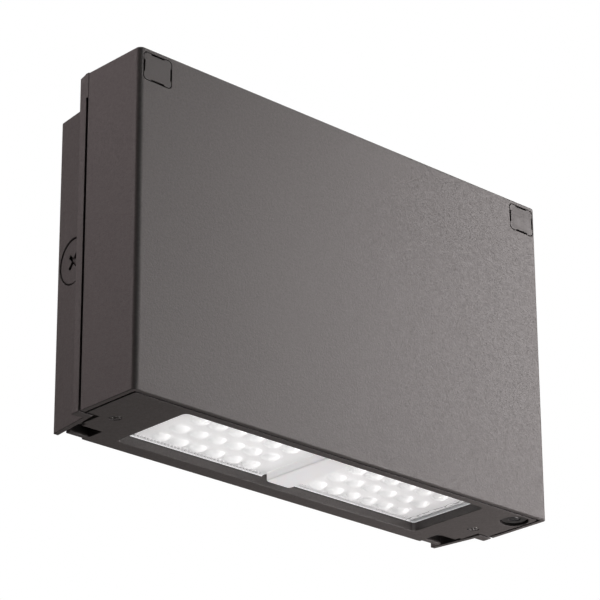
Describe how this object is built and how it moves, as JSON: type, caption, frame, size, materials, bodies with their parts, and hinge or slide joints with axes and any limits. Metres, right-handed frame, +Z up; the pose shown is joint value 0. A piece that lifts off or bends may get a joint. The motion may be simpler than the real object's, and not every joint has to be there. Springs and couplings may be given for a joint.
{
  "type": "wall pack light",
  "caption": "Slim box-shaped outdoor wall light: hinged cast door with a downward light recess, rear wiring box, side conduit entries and wall mounting holes.",
  "frame": {"origin": "centre of the junction-box screw pattern on the wall plane, at the middle of the light", "axes": "+Z up, +Y into the wall, +X to the right of a viewer facing the light; the front face looks along -Y"},
  "size_m": [0.312, 0.08, 0.198],
  "materials": {
    "housing_paint": "fine textured dark bronze powder coat on die-cast aluminium",
    "plug_rubber": "matte moulded rubber in the housing colour",
    "gasket_rubber": "matte black silicone",
    "foam_gasket": "closed-cell foam",
    "optic_clear": "clear moulded acrylic",
    "cap_white": "translucent white moulded plastic",
    "board_white": "white solder mask",
    "led_white": "white led package",
    "thermal_grey": "grey silicone pad",
    "connector_white": "moulded nylon",
    "zinc_steel": "zinc plated",
    "dark_steel": "dark coated steel",
    "green_steel": "green passivated",
    "galvanised": "galvanised sheet",
    "driver_case": "moulded white-grey case",
    "surge_case": "moulded black case",
    "terminal_plastic": "moulded nylon",
    "wire_insulation": "pvc insulation",
    "wire_red": "pvc insulation",
    "sensor_plastic": "moulded dark bronze plastic",
    "sensor_window": "smoked window"
  },
  "bodies": {
    "housing": {"rear_housing": "housing_paint", "wall_gasket": "foam_gasket", "door_gasket": "gasket_rubber", "hinge_pins": "zinc_steel", "ground_screw": "green_steel"},
    "door": {"front_cover": "housing_paint", "light_tray": "housing_paint", "optic_left": "optic_clear", "optic_right": "optic_clear", "optic_gasket": "thermal_grey", "led_board_left": "board_white", "led_board_right": "board_white", "thermal_pad_left": "thermal_grey", "thermal_pad_right": "thermal_grey", "leds_left": "led_white", "leds_right": "led_white", "board_screws": "zinc_steel", "connector_cover": "cap_white", "board_connectors": "connector_white", "lead_grommet": "gasket_rubber", "tray_screws": "dark_steel", "sensor_body": "sensor_plastic", "sensor_window": "sensor_window", "sensor_nut": "sensor_plastic", "sensor_washer": "gasket_rubber", "driver_bracket": "galvanised", "led_driver": "driver_case", "bracket_screws": "zinc_steel", "driver_screws": "zinc_steel", "surge_protector": "surge_case", "terminal_block": "terminal_plastic", "terminal_screws": "zinc_steel", "led_leads": "wire_red", "line_leads": "wire_insulation", "surge_leads": "wire_insulation", "sensor_leads": "wire_insulation"},
    "door_screw_left": {"door_screw_left": "zinc_steel", "screw_retainer_left": "gasket_rubber"},
    "door_screw_right": {"door_screw_right": "zinc_steel", "screw_retainer_right": "gasket_rubber"},
    "corner_plug_left": {"corner_plug_left": "plug_rubber"},
    "corner_plug_right": {"corner_plug_right": "plug_rubber"},
    "conduit_plug_left": {"conduit_plug_left": "dark_steel", "conduit_oring_left": "gasket_rubber"},
    "conduit_plug_right": {"conduit_plug_right": "dark_steel", "conduit_oring_right": "gasket_rubber"}
  },
  "joints": [
    {"name": "door_hinge", "type": "hinge", "parent": "housing", "child": "door", "pos_m": [0, -0.014, -0.091], "axis": [1, 0, 0], "range_deg": [0, 90]},
    {"name": "corner_plug_left_pull", "type": "slide", "parent": "door", "child": "corner_plug_left", "axis": [0, -1, 0], "range_m": [0, 0.012]},
    {"name": "corner_plug_right_pull", "type": "slide", "parent": "door", "child": "corner_plug_right", "axis": [0, -1, 0], "range_m": [0, 0.012]},
    {"name": "door_screw_left_turn", "type": "hinge", "parent": "door", "child": "door_screw_left", "pos_m": [-0.1434, -0.05, 0.0882], "axis": [0, 1, 0], "continuous": true},
    {"name": "door_screw_right_turn", "type": "hinge", "parent": "door", "child": "door_screw_right", "pos_m": [0.1434, -0.05, 0.0882], "axis": [0, 1, 0], "continuous": true},
    {"name": "conduit_plug_left_out", "type": "slide", "parent": "housing", "child": "conduit_plug_left", "axis": [-0.9907, 0.1357, 0], "range_m": [0, 0.014]},
    {"name": "conduit_plug_right_out", "type": "slide", "parent": "housing", "child": "conduit_plug_right", "axis": [0.9907, 0.1357, 0], "range_m": [0, 0.014]}
  ]
}
